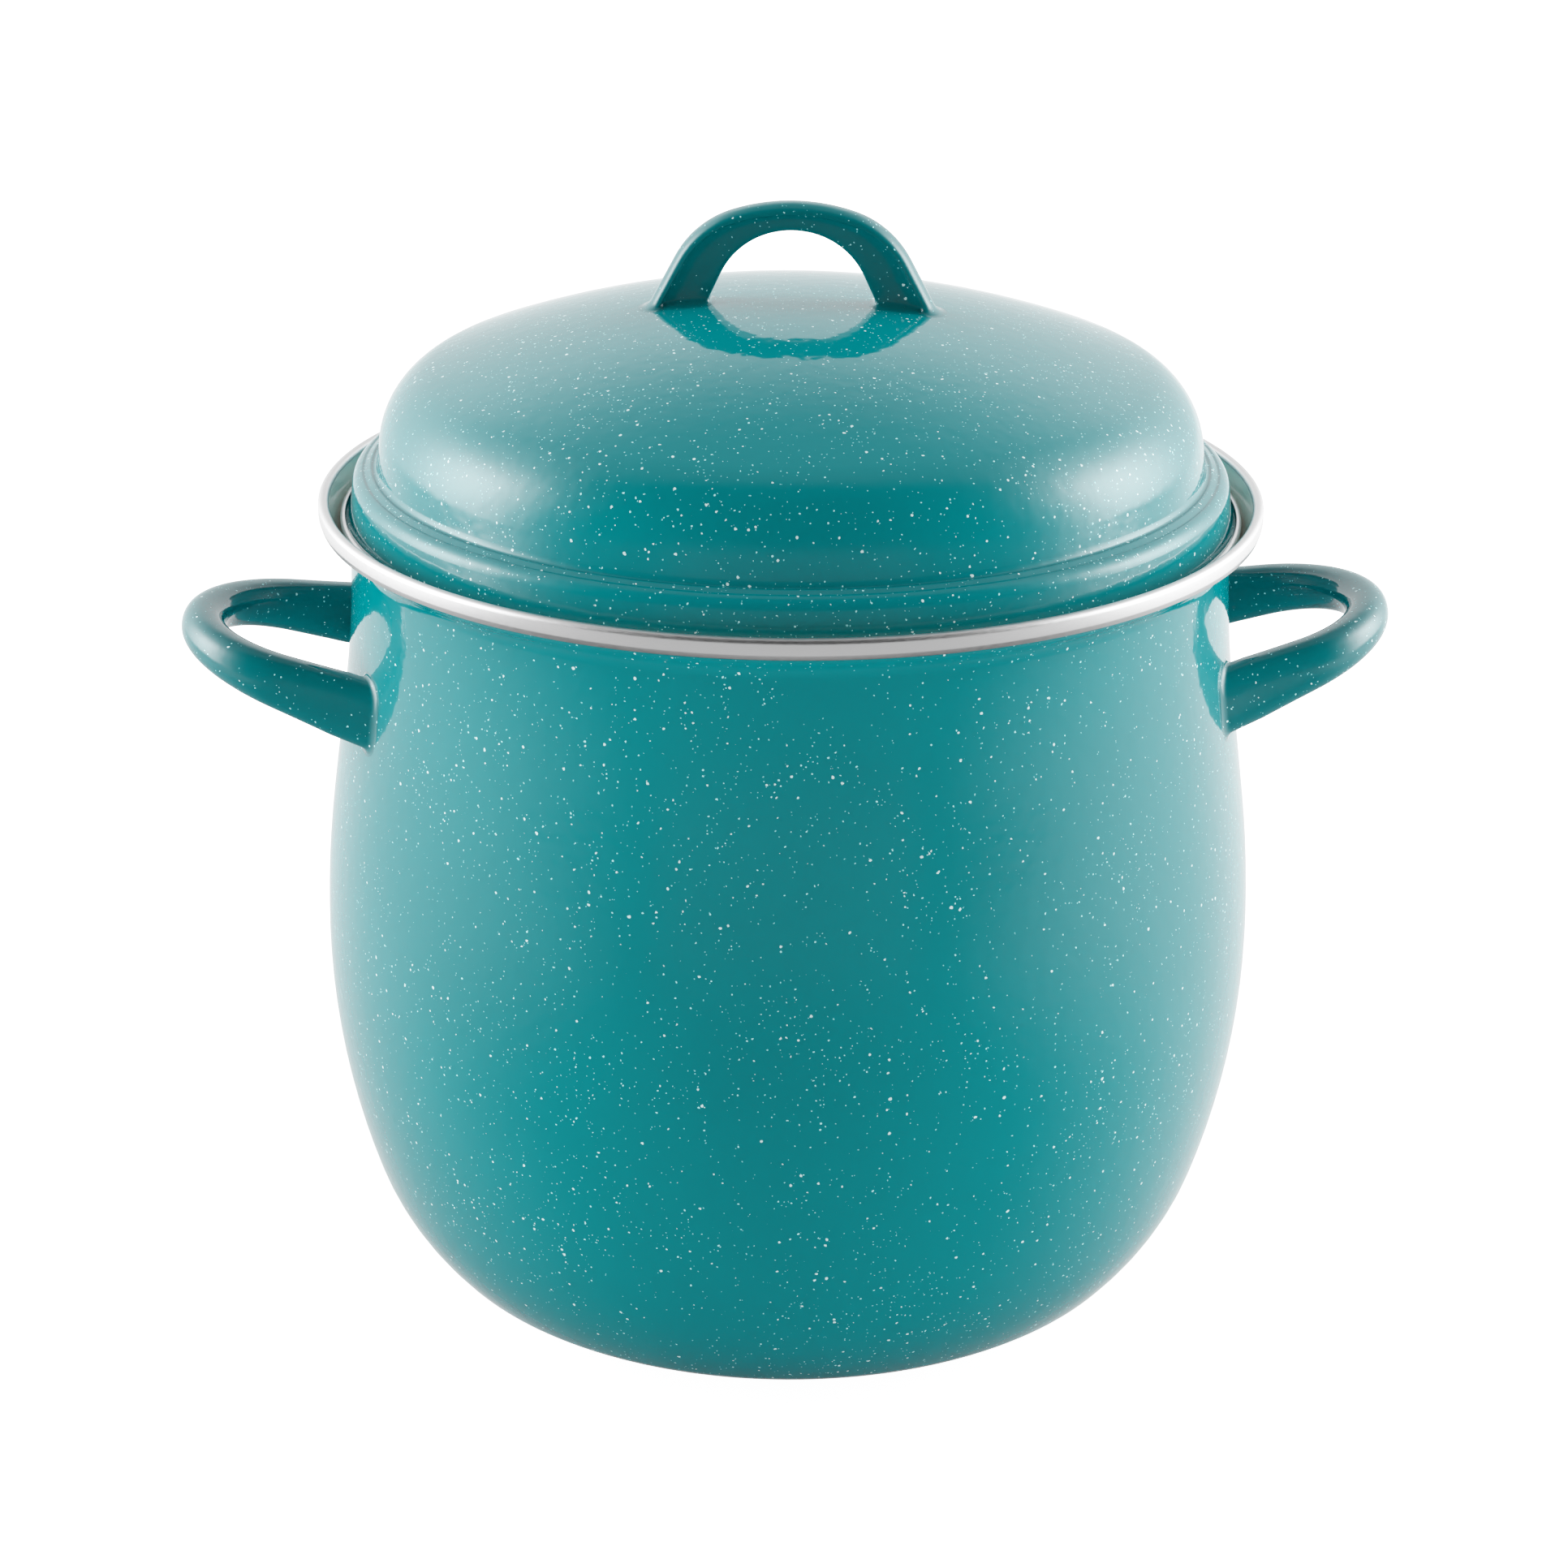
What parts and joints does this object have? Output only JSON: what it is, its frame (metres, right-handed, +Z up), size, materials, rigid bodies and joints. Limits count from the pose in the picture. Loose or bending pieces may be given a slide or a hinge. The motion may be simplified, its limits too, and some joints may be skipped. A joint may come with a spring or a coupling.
{
  "type": "water bath canner",
  "caption": "Barrel-shaped enamelled steel canning pot with steel-edged rim, domed lid, bow handles and a folding wire jar rack inside.",
  "frame": {"origin": "centre of the base, on the surface the pot stands on", "axes": "+Z up along the pot's axis, +X towards the right side handle, so the side handles lie on +X and -X"},
  "size_m": [0.3902, 0.3028, 0.352],
  "materials": {
    "teal_enamel": "glossy teal porcelain enamel with fine white speckles, cream inside",
    "stainless_band": "polished stainless steel strip",
    "chrome_wire": "bright chrome-plated steel wire"
  },
  "bodies": {
    "pot": {"pot_shell": "teal_enamel", "pot_rim_band": "stainless_band", "side_handle_left": "teal_enamel", "side_handle_right": "teal_enamel"},
    "lid": {"lid_shell": "teal_enamel", "lid_rim_band": "stainless_band", "lid_handle": "teal_enamel"},
    "rack": {"rack_foot_ring": "chrome_wire", "rack_floor_ring": "chrome_wire", "rack_top_ring": "chrome_wire", "rack_center_ring_lower": "chrome_wire", "rack_center_ring_upper": "chrome_wire", "rack_divider_1": "chrome_wire", "rack_divider_2": "chrome_wire", "rack_divider_3": "chrome_wire", "rack_divider_4": "chrome_wire", "rack_divider_5": "chrome_wire", "rack_divider_6": "chrome_wire", "rack_floor_wire_1": "chrome_wire", "rack_floor_wire_2": "chrome_wire", "rack_floor_wire_3": "chrome_wire", "rack_floor_wire_4": "chrome_wire", "rack_floor_wire_5": "chrome_wire", "rack_floor_wire_6": "chrome_wire", "rack_floor_wire_7": "chrome_wire", "rack_hinge_bar_left": "chrome_wire", "rack_hinge_bar_right": "chrome_wire"},
    "left_bail": {"rack_handle_left": "chrome_wire"},
    "right_bail": {"rack_handle_right": "chrome_wire"}
  },
  "joints": [
    {"name": "lid_lift", "type": "slide", "parent": "pot", "child": "lid", "axis": [0, 0, 1], "range_m": [0, 0.3]},
    {"name": "rack_lift", "type": "slide", "parent": "pot", "child": "rack", "axis": [0, 0, 1], "range_m": [0, 0.12]},
    {"name": "left_bail_hinge", "type": "hinge", "parent": "rack", "child": "left_bail", "pos_m": [-0.122, 0, 0.0916], "axis": [0, -1, 0], "range_deg": [0, 90]},
    {"name": "right_bail_hinge", "type": "hinge", "parent": "rack", "child": "right_bail", "pos_m": [0.122, 0, 0.0916], "axis": [0, 1, 0], "range_deg": [0, 90]}
  ]
}
